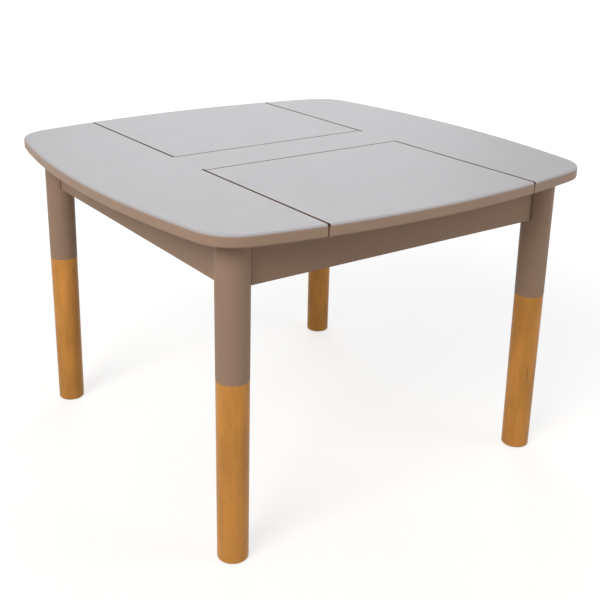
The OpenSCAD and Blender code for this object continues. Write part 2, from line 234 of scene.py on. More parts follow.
def add_box(bm, corner, opposite):
    """Adds a box between two opposite corners."""
    corner, opposite = Vector(corner), Vector(opposite)
    size = Matrix.Diagonal([abs(step) for step in opposite - corner] + [1.0])
    bmesh.ops.create_cube(bm, size=1.0, matrix=Matrix.Translation((corner + opposite) / 2) @ size)


def add_rod(bm, start, end, radius, steps=48):
    """Adds a closed cylinder between two points."""
    start, end = Vector(start), Vector(end)
    line = end - start
    bmesh.ops.create_cone(
        bm, cap_ends=True, segments=steps, radius1=radius, radius2=radius, depth=line.length,
        matrix=aimed((start + end) / 2, line))


def add_turned(bm, profile, steps):
    """Turns a profile of (radius, height) points about the Z axis into a closed solid."""
    verts = [bm.verts.new((radius, 0.0, height)) for radius, height in profile]
    edges = [bm.edges.new(pair) for pair in zip(verts, verts[1:])]
    bmesh.ops.spin(
        bm, geom=verts + edges, cent=(0, 0, 0), axis=(0, 0, 1), dvec=(0, 0, 0),
        angle=FULL_TURN, steps=steps, use_merge=True)
    bmesh.ops.remove_doubles(bm, verts=bm.verts, dist=WELD)
    bmesh.ops.recalc_face_normals(bm, faces=bm.faces)


def mesh_object(bm, name):
    """Closes a bmesh into a smooth-shaded object at the origin."""
    mesh = bpy.data.meshes.new(name)
    bm.to_mesh(mesh)
    bm.free()
    mesh.shade_smooth()
    piece = bpy.data.objects.new(name, mesh)
    bpy.context.scene.collection.objects.link(piece)
    return piece


def cut(piece, draw, *sizes, operation="DIFFERENCE"):
    """Cuts a piece with the shape that a function draws to the given sizes."""
    bm = bmesh.new()
    draw(bm, *sizes)
    cutter = mesh_object(bm, "cutter")
    tool = piece.modifiers.new("Cut", "BOOLEAN")
    tool.solver = "EXACT"
    tool.operation = operation
    tool.object = cutter
    shaped = bpy.data.meshes.new_from_object(piece.evaluated_get(bpy.context.evaluated_depsgraph_get()))
    piece.modifiers.remove(tool)
    plain = piece.data
    piece.data = shaped
    bpy.data.meshes.remove(plain)
    bpy.data.meshes.remove(cutter.data)
    bm = bmesh.new()
    bm.from_mesh(shaped)
    bmesh.ops.remove_doubles(bm, verts=bm.verts, dist=WELD)
    bmesh.ops.dissolve_degenerate(bm, dist=WELD, edges=bm.edges)
    bm.to_mesh(shaped)
    bm.free()
    shaped.shade_smooth()


def ease(piece, width, shortest=0.0):
    """Rounds a piece's sharp edges, save the shortest, and keeps its flat faces flat to the light."""
    bm = bmesh.new()
    bm.from_mesh(piece.data)
    weights = bm.edges.layers.float.new("bevel_weight_edge")
    for edge in bm.edges:
        if edge.calc_face_angle(0.0) > SHARP and edge.calc_length() > shortest:
            edge[weights] = 1.0
    bm.to_mesh(piece.data)
    bm.free()
    rounding = piece.modifiers.new("Eased Edges", "BEVEL")
    rounding.width = width
    rounding.segments = 2
    rounding.limit_method = "WEIGHT"
    rounding.miter_outer = "MITER_ARC"
    shading = piece.modifiers.new("Flat Faces", "WEIGHTED_NORMAL")
    shading.mode = "FACE_AREA"
    shading.weight = 80
    shading.keep_sharp = True


def fit_out(piece, node, slot, *materials):
    """Puts a finished piece in a frame node's place, with its body and its materials; the slot is not
    used.
    """
    for material in materials:
        piece.data.materials.append(material)
    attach(piece, frame["nodes"][node]["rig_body"])
    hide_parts(node)


def welded(node):
    """Gives a frame node's shape, with its loose triangles joined."""
    bm = bmesh.new()
    bm.from_mesh(frame["nodes"][node].data)
    bmesh.ops.remove_doubles(bm, verts=bm.verts, dist=WELD)
    return bm


def merged_copy(node, name):
    """Copies a frame node's shape, with its triangles merged into whole faces."""
    bm = welded(node)
    bmesh.ops.dissolve_limit(
        bm, angle_limit=FLAT, verts=bm.verts, edges=bm.edges, use_dissolve_boundaries=False)
    return mesh_object(bm, name)


def loose_parts(node):
    """Gives the lowest and highest corner of each separate solid in a frame node."""
    bm = welded(node)
    seen = set()
    boxes = []
    for seed in bm.verts:
        if seed in seen:
            continue
        group = {seed}
        front = [seed]
        while front:
            vert = front.pop()
            around = {edge.other_vert(vert) for edge in vert.link_edges} - group
            group |= around
            front.extend(around)
        seen |= group
        low = Vector([min(vert.co[axis] for vert in group) for axis in range(3)])
        high = Vector([max(vert.co[axis] for vert in group) for axis in range(3)])
        boxes.append((low, high))
    bm.free()
    return boxes


# ---- materials ----

NOISE_SPAN = (0.3, 0.7)  # most of a noise lies between these values
CLOUDS = (0.985, 1.015)  # the paint's darkest and palest clouds, as shares of its colour
SPECK = (0.10, 0.08, 0.07)  # colour of the fine dust in the paint
CORNER_SHADE_SKIN = 0.0001  # painted shade darkens an apron's paint from this far outside a leg's surface,
CORNER_SHADE_FADE = (0.0008, 0.0020)  # and fades to plain between these distances from it
TAUPE_IN = (0.2, 1.5)  # the taupe fades in between these depths, as shares of the round-over,
RIM_IN = (0.05, 0.25)  # the painted highlight on the round-over lies between these,
RIM_OUT = (0.9, 0.4)  # and it fades out again between these
HIGHLIGHT_STRENGTH = 0.5  # how much the painted highlight shows
HIGHLIGHT_TONE = 1.2  # its tone, as a share of the pale face's
SEAM_HIGHLIGHT_WIDTH = 2.5  # width of the painted highlight along a side seam, as a share of the seam's ease
SEAM_HIGHLIGHT_DEPTHS = (0.0010, 0.0005)  # the painted highlight fades in between these depths
SEAM_SHADE_FULL = 0.4  # the seams' painted shade is full down to this share of the depth where it ends
SIDE_SEAM_SHADE_REACH = 0.8  # how far a side seam's painted shade reaches, as a share of a hinge seam's
LEG_SHADE_TONES = (0.90, 1.04)  # painted shade: tones of a leg's bare wood at the foot and near the paint line,
LEG_SHADE_HEIGHTS = (0.02, 0.24)  # and the heights that the change lies between
KNOT_SQUEEZE = 0.6  # the knot's width, as a share of its height
KNOT_WAVE = 0.0006  # how far the wood's rays push the knot's edge in and out
KNOT_HEART = (0.0010, 0.0026)  # the knot's dark heart fades out between these distances
KNOT_RIM_IN = (0.0028, 0.0040)  # its rim fades in,
KNOT_RIM_OUT = (0.0056, 0.0042)  # and out again further out


class Finish:
    """A material under construction, with short calls for the nodes that the finishes share."""

    def __init__(self, name, roughness=0.5, metallic=0.0, specular=0.5):
        self.material = bpy.data.materials.new(name)
        self.material.use_nodes = True
        self.tree = self.material.node_tree
        self.shader = self.tree.nodes["Principled BSDF"]
        self.shader.inputs["Roughness"].default_value = roughness
        self.shader.inputs["Metallic"].default_value = metallic
        self.shader.inputs["Specular IOR Level"].default_value = specular
        self.places = self.tree.nodes.new("ShaderNodeTexCoord").outputs["Object"]

    def join(self, value, socket):
        """Links a socket to an input, or writes a plain value on it."""
        if isinstance(value, bpy.types.NodeSocket):
            self.tree.links.new(value, socket)
        else:
            socket.default_value = value

    def node(self, kind, output, inputs, operation=None):
        """Adds a node, fills its inputs and gives one of its outputs."""
        node = self.tree.nodes.new(f"ShaderNode{kind}")
        if operation:
            node.operation = operation
        for name, value in inputs.items():
            self.join(value, node.inputs[name])
        return node.outputs[output]

    def part(self, axis):
        """Gives one coordinate in the piece's own frame."""
        return self.node("SeparateXYZ", axis, {"Vector": self.places})

    def stretched(self, scale):
        """Gives the object's coordinates, scaled."""
        return self.node("Mapping", "Vector", {"Vector": self.places, "Scale": scale})

    def noise(self, scale, detail, places=None, roughness=0.5, distortion=0.0):
        """Gives soft noise from 0 to 1."""
        return self.node("TexNoise", "Fac", {
            "Vector": places or self.places, "Scale": scale, "Detail": detail,
            "Roughness": roughness, "Distortion": distortion})

    def spread(self, value, low, high, start=0.0, end=1.0):
        """Spreads a value from low..high to start..end, and holds it there."""
        return self.node("MapRange", "Result", {
            "Value": value, "From Min": low, "From Max": high, "To Min": start, "To Max": end})

    def varied(self, noise, start=0.0, end=1.0):
        """Spreads what most of a noise covers to start..end."""
        return self.spread(noise, *NOISE_SPAN, start, end)

    def distance(self, places, point):
        """Gives how far the places lie from a point."""
        return self.node("VectorMath", "Value", {0: places, 1: point}, "DISTANCE")

    def calc(self, operation, *values):
        """Gives the result of a sum on some values."""
        return self.node("Math", "Value", dict(enumerate(values)), operation)

    def times(self, first, second):
        """Gives the product of two values."""
        return self.calc("MULTIPLY", first, second)

    def blend(self, factor, first, second, kind="MIX"):
        """Blends two colours."""
        node = self.tree.nodes.new("ShaderNodeMix")
        node.data_type = "RGBA"
        node.blend_type = kind
        self.join(factor, node.inputs["Factor"])
        colours = [socket for socket in node.inputs if socket.type == "RGBA"]
        for value, socket in zip((first, second), colours):
            self.join(value if isinstance(value, bpy.types.NodeSocket) else (*value, 1.0), socket)
        return next(socket for socket in node.outputs if socket.type == "RGBA")

    def within(self, value, low, high):
        """Gives 1 where a value lies from low to high, else 0."""
        return self.calc("COMPARE", value, (low + high) / 2, (high - low) / 2)

    def shade(self, colour, share):
        """Gives a plain or patterned colour made lighter or darker."""
        if isinstance(colour, bpy.types.NodeSocket):
            return self.blend(1.0, colour, (share,) * 3, "MULTIPLY")
        return tuple(min(1.0, part * share) for part in colour)

    def mottled(self, factor, colour, dark, pale):
        """Blends a colour from its darker to its paler shade."""
        return self.blend(factor, self.shade(colour, dark), self.shade(colour, pale))

    def colour(self, value):
        """Sets the base colour."""
        self.join(value, self.shader.inputs["Base Color"])

    def rough(self, value):
        """Sets the roughness."""
        self.join(value, self.shader.inputs["Roughness"])

    def bump(self, pattern, depth, strength):
        """Raises the surface by a pattern of the given depth in metres."""
        inputs = {"Height": pattern, "Distance": depth, "Strength": strength}
        above = self.shader.inputs["Normal"]
        if above.is_linked:
            inputs["Normal"] = above.links[0].from_socket
        self.join(self.node("Bump", "Normal", inputs), above)


def finishes():
    """Gives the colours of the finishes."""
    return bpy.context.scene.kids_table_finish


def known(name, make):
    """Gives the material of that name, made the first time it is asked for."""
    return bpy.data.materials.get(name) or make(name)


def spray_coat(finish, colour, roughness):
    """Adds what sprayed satin paint shows: a faint cloudiness, fine orange peel and uneven gloss."""
    clouds = finish.noise(7.0, detail=4.0)
    specks = finish.noise(900.0, detail=2.0)
    peel = finish.noise(420.0, detail=2.0)
    waves = finish.noise(26.0, detail=2.0)
    cloudy = finish.mottled(finish.varied(clouds), colour, *CLOUDS)
    finish.colour(finish.blend(finish.spread(specks, 0.62, 0.72, 0.0, 0.08), cloudy, SPECK))
    finish.rough(finish.varied(waves, roughness - 0.02, roughness + 0.03))
    finish.bump(peel, 0.00006, strength=0.5)
    finish.bump(waves, 0.0004, strength=0.05)


def taupe_paint(name):
    """Satin taupe paint of the frame and the upper legs, with painted shade in the corners between them.
    """
    settings = finishes()
    finish = Finish(name, specular=0.2)
    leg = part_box("rear_right_leg")
    axis = middle_of(leg)
    squares = []
    for way, middle in (("X", axis.x), ("Y", axis.y)):
        offset = finish.calc("SUBTRACT", finish.calc("ABSOLUTE", finish.part(way)), middle)
        squares.append(finish.calc("POWER", offset, 2.0))
    reach = finish.calc("SQRT", finish.calc("ADD", *squares))
    edge = leg[1].x - axis.x
    # painted shade in the corners where the aprons meet the legs
    corner = finish.spread(reach, *(edge + distance for distance in CORNER_SHADE_FADE), 1.0, 0.0)
    corner = finish.times(corner, finish.calc("GREATER_THAN", reach, edge + CORNER_SHADE_SKIN))
    colour = finish.blend(corner, settings.taupe_paint, settings.corner_shade_brown)
    spray_coat(finish, colour, settings.paint_roughness)
    return finish.material


def lit_top_lacquer(name):
    """Satin lacquer of the top and the lids: pale above, taupe below, dark along the seams. The pale
    upper faces are partly painted light from above, the paler band on the round-over and the patches
    along the planks' seam edges are painted highlight, and the dark seam edges are painted shade.
    """
    settings = finishes()
    timber = bpy.context.scene.kids_table_timber
    finish = Finish(name, specular=0.45)
    strip_edge, lid_edge = hinge_seam()
    lid_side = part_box("rear_lid")[1].x
    plank_side = opening_half()
    depth = finish.calc("SUBTRACT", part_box("rear_lid")[1].z, finish.part("Z"))
    across = finish.calc("ABSOLUTE", finish.part("X"))
    along = finish.calc("ABSOLUTE", finish.part("Y"))

    # the pale face, partly painted light from above, gives way to taupe within the round-over, with a
    # painted highlight between them
    turn = timber.edge_radius
    taupe, highlight_in, highlight_out = ([share * turn for share in span] for span in (TAUPE_IN, RIM_IN, RIM_OUT))
    colour = finish.blend(finish.spread(depth, *taupe), settings.lit_top_lacquer, settings.taupe_paint)
    # painted highlight: a paler band on the round-over, between the pale face and the taupe
    rim = finish.times(finish.spread(depth, *highlight_in), finish.spread(depth, *highlight_out))
    pale = finish.shade(settings.lit_top_lacquer, HIGHLIGHT_TONE)
    colour = finish.blend(finish.times(rim, HIGHLIGHT_STRENGTH), colour, pale)

    # painted highlight in patches along the planks' edges of the side seams, where they catch the light
    sawn_past = finish.calc("GREATER_THAN", finish.times(finish.part("X"), finish.part("Y")), 0.0)
    seam_end = finish.calc("SUBTRACT", strip_edge, finish.times(sawn_past, timber.overcut))
    beside_lid = finish.calc("GREATER_THAN", along, seam_end)
    seam_highlit = finish.within(across, plank_side, plank_side + SEAM_HIGHLIGHT_WIDTH * timber.seam_ease)
    seam_highlit = finish.times(seam_highlit, finish.times(beside_lid, finish.spread(depth, *SEAM_HIGHLIGHT_DEPTHS)))
    patchy = finish.spread(finish.noise(60.0, detail=3.0), 0.35, 0.6, 0.2, 0.7)
    colour = finish.blend(finish.times(seam_highlit, patchy), colour, settings.seam_highlight)

    # painted shade: the edges just inside the hinge seams and the side seams are dark, and the shade
    # reaches a little onto the upper faces beside them
    seam_shade_depth = finish.spread(depth, settings.seam_shade_fade, SEAM_SHADE_FULL * settings.seam_shade_fade)
    reach = settings.seam_shade_reach
    seam = finish.within(along, strip_edge - reach, lid_edge + reach)
    seam = finish.times(seam, finish.calc("LESS_THAN", across, plank_side))
    colour = finish.blend(finish.times(seam, seam_shade_depth), colour, settings.hinge_seam_shade)
    reach *= SIDE_SEAM_SHADE_REACH
    seam = finish.times(finish.within(across, lid_side - reach, plank_side + reach), beside_lid)
    colour = finish.blend(finish.times(seam, seam_shade_depth), colour, settings.sawn_brown_shade)
    spray_coat(finish, colour, settings.paint_roughness - 0.04)
    return finish.material


def grain(finish, tone, along, fineness):
    """Adds wood grain along one axis: broad patches, bands, fine fibres, rays and dark flecks."""
    def lengthways(share, scale, detail, **more):
        places = finish.stretched([share if way == along else 1.0 for way in "XYZ"])
        return finish.noise(scale * fineness, detail, places, **more)

    patches = lengthways(0.30, 34.0, detail=2.0, roughness=0.45)
    bands = lengthways(0.05, 110.0, detail=4.0, roughness=0.6, distortion=0.4)
    fibres = lengthways(0.02, 900.0, detail=3.0, roughness=0.7)
    rays = lengthways(0.22, 700.0, detail=1.0)
    flecks = lengthways(0.10, 260.0, detail=2.0)
    colour = finish.mottled(finish.spread(patches, 0.34, 0.66), tone, 0.86, 1.12)
    darker = (  # pattern, where it starts and ends, how strong it is, the tone it goes to
        (bands, 0.35, 0.70, 0.45, 0.78),
        (fibres, 0.35, 0.70, 0.30, 0.75),
        (rays, 0.60, 0.72, 0.30, 0.62),
        (flecks, 0.70, 0.76, 0.65, 0.42),
    )
    for pattern, low, high, strength, share in darker:
        there = finish.spread(pattern, low, high, 0.0, strength)
        colour = finish.blend(there, colour, finish.shade(colour, share))
    return colour, fibres, rays


def clear_beech(name):
    """Honey beech under clear satin lacquer, with one small knot."""
    settings = finishes()
    finish = Finish(name, specular=0.25)
    colour, fibres, rays = grain(finish, settings.beech, "Z", 1.0)
    # painted shade: the bare wood darker towards the foot
    colour = finish.mottled(finish.spread(finish.part("Z"), *LEG_SHADE_HEIGHTS), colour, *LEG_SHADE_TONES)
    across, along, up = settings.knot_place
    places = finish.stretched((1.0, 1.0, KNOT_SQUEEZE))
    reach = finish.distance(places, (across, along, KNOT_SQUEEZE * up))
    wavy = finish.calc("ADD", reach, finish.spread(rays, 0.2, 0.8, -KNOT_WAVE, KNOT_WAVE))
    heart = finish.spread(wavy, *KNOT_HEART, 0.50, 0.0)
    rim = finish.times(finish.spread(wavy, *KNOT_RIM_IN), finish.spread(wavy, *KNOT_RIM_OUT))
    colour = finish.blend(finish.times(rim, 0.35), colour, finish.shade(settings.beech, 0.45))
    finish.colour(finish.blend(heart, colour, finish.shade(settings.beech, 0.25)))
    finish.rough(finish.varied(fibres, 0.34, 0.46))
    finish.bump(fibres, 0.00005, strength=0.5)
    finish.bump(rays, 0.00005, strength=-0.4)
    return finish.material


def birch_ply(name):
    """Sealed birch ply of the tray floors, its face grain along the table's width."""
    finish = Finish(name)
    colour, fibres, _ = grain(finish, finishes().birch_ply, "X", 0.45)
    finish.colour(colour)
    finish.rough(finish.varied(fibres, 0.45, 0.6))
    finish.bump(fibres, 0.00008, strength=0.5)
    return finish.material


def planed_wood(name):
    """Bare planed wood of the corner blocks and dowels."""
    finish = Finish(name)
    colour, fibres, rays = grain(finish, finishes().planed_wood, "Z", 0.8)
    finish.colour(colour)
    finish.rough(finish.varied(fibres, 0.6, 0.75))
    finish.bump(fibres, 0.00012, strength=0.6)
    finish.bump(rays, 0.00008, strength=-0.5)
    return finish.material


def metal(name, colour, roughness, streaks, blotch):
    """A metal with fine streaks and a blotchy plating."""
    finish = Finish(name, metallic=1.0)
    patches = finish.noise(blotch, detail=4.0)
    lines = finish.noise(900.0, detail=3.0, places=finish.stretched(streaks))
    finish.colour(finish.mottled(finish.varied(patches), colour, 0.82, 1.08))
    finish.rough(finish.varied(lines, roughness - 0.08, roughness + 0.1))
    finish.bump(lines, 0.00002, strength=0.4)
    return finish.material


def zinc_plate(name):
    """Zinc-plated steel of the bolts, nuts, washers and screws."""
    return metal(name, finishes().zinc, roughness=0.34, streaks=(1.0, 1.0, 0.2), blotch=240.0)


def turned_brass(name):
    """Turned brass of the hinge barrels."""
    return metal(name, finishes().brass, roughness=0.28, streaks=(0.15, 6.0, 0.15), blotch=120.0)


def stamped_steel(name):
    """Stamped steel of the hinge plates."""
    return metal(name, finishes().steel, roughness=0.38, streaks=(4.0, 1.0, 1.0), blotch=300.0)


def pressed_felt(name):
    """Grey pressed felt of the buffers."""
    finish = Finish(name, roughness=0.95, specular=0.2)
    fluff = finish.noise(1500.0, detail=5.0, roughness=0.8)
    finish.colour(finish.mottled(finish.varied(fluff), finishes().felt, 0.6, 1.4))
    finish.bump(fluff, 0.0003, strength=0.8)
    finish.shader.inputs["Sheen Weight"].default_value = 0.4
    return finish.material


def black_nylon(name):
    """Moulded black nylon of the glides."""
    finish = Finish(name)
    skin = finish.noise(1100.0, detail=3.0)
    wear = finish.noise(90.0, detail=4.0)
    finish.colour(finish.mottled(finish.spread(wear, 0.4, 0.7), finishes().nylon, 0.6, 1.4))
    finish.rough(finish.varied(wear, 0.42, 0.62))
    finish.bump(skin, 0.00005, strength=0.5)
    return finish.material


# ---- the top and the lids ----


def whole_top(name):
    """Draws the top's outline with arcs, thickens it and rounds it over along both faces."""
    timber = bpy.context.scene.kids_table_timber
    low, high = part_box("top_panel")
    half = high.x
    side_centre = timber.side_radius - half
    reach = timber.side_radius - timber.corner_radius
    corner = (math.sqrt(2 * reach ** 2 - side_centre ** 2) - side_centre) / 2
    side_angle = math.atan2(corner, side_centre + corner)
    arcs = (  # centre, angle and steps
        ((0.0, side_centre, high.z), side_angle, 14),
        ((corner, -corner, high.z), QUARTER - 2 * side_angle, 28),
        ((-side_centre, 0.0, high.z), side_angle, 14),
    )
    bm = bmesh.new()
    pen = bm.verts.new((0.0, -half, high.z))
    for centre, angle, steps in arcs:
        drawn = bmesh.ops.spin(
            bm, geom=[pen], cent=centre, axis=(0, 0, 1), dvec=(0, 0, 0), angle=angle, steps=steps)
        pen = next(part for part in drawn["geom_last"] if isinstance(part, bmesh.types.BMVert))
    bmesh.ops.spin(
        bm, geom=bm.verts[:] + bm.edges[:], cent=(0, 0, 0), axis=(0, 0, 1), dvec=(0, 0, 0),
        angle=3 * QUARTER, steps=3, use_duplicate=True)
    bmesh.ops.remove_doubles(bm, verts=bm.verts, dist=WELD)
    face = bmesh.ops.contextual_create(bm, geom=bm.edges)["faces"]
    lowered = bmesh.ops.extrude_face_region(bm, geom=face)["geom"]
    lowered = [part for part in lowered if isinstance(part, bmesh.types.BMVert)]
    bmesh.ops.translate(bm, verts=lowered, vec=(0, 0, low.z - high.z))
    bmesh.ops.recalc_face_normals(bm, faces=bm.faces)
    rims = [edge for edge in bm.edges if abs(edge.verts[0].co.z - edge.verts[1].co.z) < WELD]
    bmesh.ops.bevel(
        bm, geom=rims, offset=timber.edge_radius, offset_type="OFFSET", segments=6,
        profile=0.5, affect="EDGES", clamp_overlap=True, material=-1)
    return mesh_object(bm, name)


def barrel_bores(end):
    """Gives the ends and radius of one lid's barrel bores, which run from the strip into the lid."""
    fixed, moving = (loose_parts(f"{end}_{part}_barrels") for part in ("fixed", "lid"))
    depths = [corner.y for box in fixed + moving for corner in box]
    bores = []
    for low, high in fixed:
        centre = middle_of((low, high))
        near, far = ((centre.x, depth, centre.z) for depth in (min(depths), max(depths)))
        bores.append((near, far, (high.x - low.x) / 2))
    return bores


def opening_boxes(end):
    """Gives the boxes that saw one lid's opening out of the top, with the saw's overrun."""
    overcut = bpy.context.scene.kids_table_timber.overcut
    low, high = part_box("top_panel")
    lid_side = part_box(f"{end}_lid")[1].x
    way = 1 if end == "rear" else -1
    edge = hinge_seam()[0]
    opening = opening_half()
    bottom, top = low.z - PAST, high.z + PAST
    return (
        ((-opening, way * edge, bottom), (opening, way * 2 * high.x, top)),
        ((way * lid_side, way * (edge - overcut), bottom), (way * opening, way * (edge + PAST), top)),
    )


def hinge_seam():
    """Gives how far the two edges of a hinge seam, the strip's and the lid's, lie from the middle."""
    wall_low, wall_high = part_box("rear_centre_wall")
    lid_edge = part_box("rear_lid")[0].y
    return wall_low.y + wall_high.y - lid_edge, lid_edge


def opening_half():
    """Gives half the width of the lid openings, whose side seams lie over the inner walls' middles."""
    low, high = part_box("right_inner_wall")
    return low.x + high.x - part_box("front_lid")[1].x


class KIDSTABLE_OT_top_panel(bpy.types.Operator):
    """Build the fixed part of the top: two planks joined by the centre strip"""

    bl_idname = "kids_table.top_panel"
    bl_label = "Top Panel"

    def execute(self, context):
        timber = context.scene.kids_table_timber
        panel = whole_top("painted_top")
        for end in ENDS:
            for corners in opening_boxes(end):
                cut(panel, add_box, *corners)
            for bore in barrel_bores(end):
                cut(panel, add_rod, *bore)
        ease(panel, timber.seam_ease)
        fit_out(panel, "top_panel", "top_paint", known("Satin Top Lacquer", lit_top_lacquer))
        return {"FINISHED"}


class KIDSTABLE_OT_lids(bpy.types.Operator):
    """Build the two lids, flush with the top and sawn from the same outline"""

    bl_idname = "kids_table.lids"
    bl_label = "Lids"

    def execute(self, context):
        timber = context.scene.kids_table_timber
        for end in ENDS:
            low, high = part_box(f"{end}_lid")
            inner, outer = (low, high) if end == "rear" else (high, low)
            blank = ((low.x, inner.y, low.z - PAST), (high.x, 2 * outer.y, high.z + PAST))
            lid = whole_top(f"{end}_lid_board")
            cut(lid, add_box, *blank, operation="INTERSECT")
            for bore in barrel_bores(end):
                cut(lid, add_rod, *bore)
            ease(lid, timber.seam_ease)
            fit_out(lid, f"{end}_lid", "top_paint", known("Satin Top Lacquer", lit_top_lacquer))
        return {"FINISHED"}


# ---- legs ----


def turned_leg(bm, low, high):
    """Turns one leg about the Z axis: recess for the glide, chamfered foot, bare and painted taper."""
    timber = bpy.context.scene.kids_table_timber
    top_radius = (high.x - low.x) / 2
    glide_low, glide_high = loose_parts("leg_glides")[0]
    disc_radius = (glide_high.x - glide_low.x) / 2
    recess = glide_low.z + bpy.context.scene.kids_table_hardware.glide_disc
    taper = (top_radius - timber.foot_radius) / (high.z - low.z)
    line_radius = timber.foot_radius + taper * (timber.paint_line - low.z)
    bare_radius = line_radius - timber.paint_build
    gap = timber.housing_gap
    add_turned(bm, [
        (0.0, recess),
        (disc_radius + gap, recess),
        (disc_radius + gap, low.z),
        (timber.foot_radius - timber.foot_chamfer, low.z),
        (timber.foot_radius, low.z + timber.foot_chamfer),
        (bare_radius, timber.paint_line),
        (line_radius, timber.paint_line + 2 * timber.paint_build),
        (top_radius, high.z),
        (0.0, high.z),
    ], steps=96)
    for face in bm.faces:
        face.material_index = 0 if face.calc_center_median().z >= timber.paint_line - WELD else 1


class KIDSTABLE_OT_legs(bpy.types.Operator):
    """Build the four turned legs, painted above the paint line and clear beech below it"""

    bl_idname = "kids_table.legs"
    bl_label = "Legs"

    def execute(self, context):
        timber = context.scene.kids_table_timber
        gap = Vector((timber.housing_gap,) * 3)
        for end in ENDS:
            for side in SIDES:
                node = f"{end}_{side}_leg"
                low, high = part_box(node)
                axis = middle_of((low, high))
                bm = bmesh.new()
                turned_leg(bm, low, high)
                bmesh.ops.translate(bm, verts=bm.verts, vec=(axis.x, axis.y, 0))
                leg = mesh_object(bm, f"{end}_{side}_turned_leg")
                for apron in (f"{end}_apron", f"{side}_apron"):
                    low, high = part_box(apron)
                    cut(leg, add_box, low - gap, high + gap)
                ease(leg, timber.board_ease)
                fit_out(
                    leg, node, "leg_wood",
                    known("Satin Taupe Paint", taupe_paint), known("Clear Beech", clear_beech))
        return {"FINISHED"}


# ---- frame ----


def eased_copy(node, name, width, slot, material, shortest=0.0):
    """Builds a piece from its node, with its edges eased."""
    piece = merged_copy(node, name)
    ease(piece, width, shortest)
    fit_out(piece, node, slot, material)


def eased_board(node, name, slot, material):
    """Builds a board from its node, with its straight edges eased and its bores left sharp."""
    eased_copy(node, name, bpy.context.scene.kids_table_timber.board_ease, slot, material, RIM_STEP)


class KIDSTABLE_OT_aprons(bpy.types.Operator):
    """Build the four aprons between the legs"""

    bl_idname = "kids_table.aprons"
    bl_label = "Aprons"

    def execute(self, context):
        paint = known("Satin Taupe Paint", taupe_paint)
        for where in ENDS + SIDES:
            eased_board(f"{where}_apron", f"{where}_apron_board", "frame_paint", paint)
        return {"FINISHED"}


class KIDSTABLE_OT_walls(bpy.types.Operator):
    """Build the inner walls and the centre walls of the storage trays"""

    bl_idname = "kids_table.walls"
    bl_label = "Tray Walls"

    def execute(self, context):
        paint = known("Satin Taupe Paint", taupe_paint)
        for side in SIDES:
            eased_board(f"{side}_inner_wall", f"{side}_tray_wall", "frame_paint", paint)
        for end in ENDS:
            eased_board(f"{end}_centre_wall", f"{end}_middle_wall", "frame_paint", paint)
        return {"FINISHED"}


class KIDSTABLE_OT_tray_floors(bpy.types.Operator):
    """Build the plywood floors of the two storage trays"""

    bl_idname = "kids_table.tray_floors"
    bl_label = "Tray Floors"

    def execute(self, context):
        ply = known("Sealed Birch Ply", birch_ply)
        for end in ENDS:
            eased_board(f"{end}_tray_floor", f"{end}_tray_base", "tray_floor", ply)
        return {"FINISHED"}


class KIDSTABLE_OT_corner_blocks(bpy.types.Operator):
    """Build the four corner blocks that hold the legs"""

    bl_idname = "kids_table.corner_blocks"
    bl_label = "Corner Blocks"

    def execute(self, context):
        wood = known("Bare Planed Wood", planed_wood)
        for end in ENDS:
            for side in SIDES:
                eased_board(f"{end}_{side}_block", f"{end}_{side}_corner_block", "block_wood", wood)
        return {"FINISHED"}


class KIDSTABLE_OT_dowels(bpy.types.Operator):
    """Finish the dowels, which stay as the frame has them"""

    bl_idname = "kids_table.dowels"
    bl_label = "Dowels"

    def execute(self, context):
        wood = known("Bare Planed Wood", planed_wood)
        for node in ("inner_wall_dowels", "centre_wall_dowels"):
            mesh = frame["nodes"][node].data
            mesh.materials.clear()
            mesh.materials.append(wood)
        return {"FINISHED"}


# ---- hardware ----

THREAD = ((0, 0.0), (0, 0.15), (1, 0.5), (1, 0.65), (0, 1.0))  # 0 root or 1 crest, share of the pitch
BOLT_THREAD = 0.17  # depth of a bolt's thread, as a share of its radius
SCREW_THREAD = 0.3  # the same for a wood screw's
SCREW_CORE = 0.66  # radius of a wood screw's core, as a share of its thread's
SCREW_HEAD = (  # radius and depth below the head's top, as shares of the head's own
    (0.0, 0.0), (0.62, 0.0), (0.86, 0.12), (1.0, 0.42), (1.0, 0.72), (0.55, 1.0))
CROSS = (0.52, 0.2, 0.7)  # reach, width and depth of a screw's cross, as shares of its head
CROSS_TAPER = (0.5, 0.8)  # how much of the reach and the width is left at the cross's bottom
SCREW_NECK = 1.05  # depth where the core starts under the head, as a share of the head's height
SCREW_POINT = 1.6  # length of the core's point, as a share of the thread's radius
THREAD_STOP = 1.2  # the thread stops this far from the tip, as a share of its radius
WASHER_HOLE = 1.05  # radius of a washer's hole, as a share of the bolt's
NUT_BORE = 1.01  # the same for a nut's
NUT_FACE = 0.93  # radius of a nut's face inside its chamfer, as a share of its corners'
NUT_BELLY = 1.02  # radius that the chamfer's cone reaches, just past the corners
NUT_CHAMFER = 0.144  # height of that cone, as a share of the corners' radius
NUT_STEPS = 60  # steps round that cone, a multiple of six so that some meet the corners
NUT_WELD = 20 * WELD  # slivers round a nut's chamfer are narrower than this


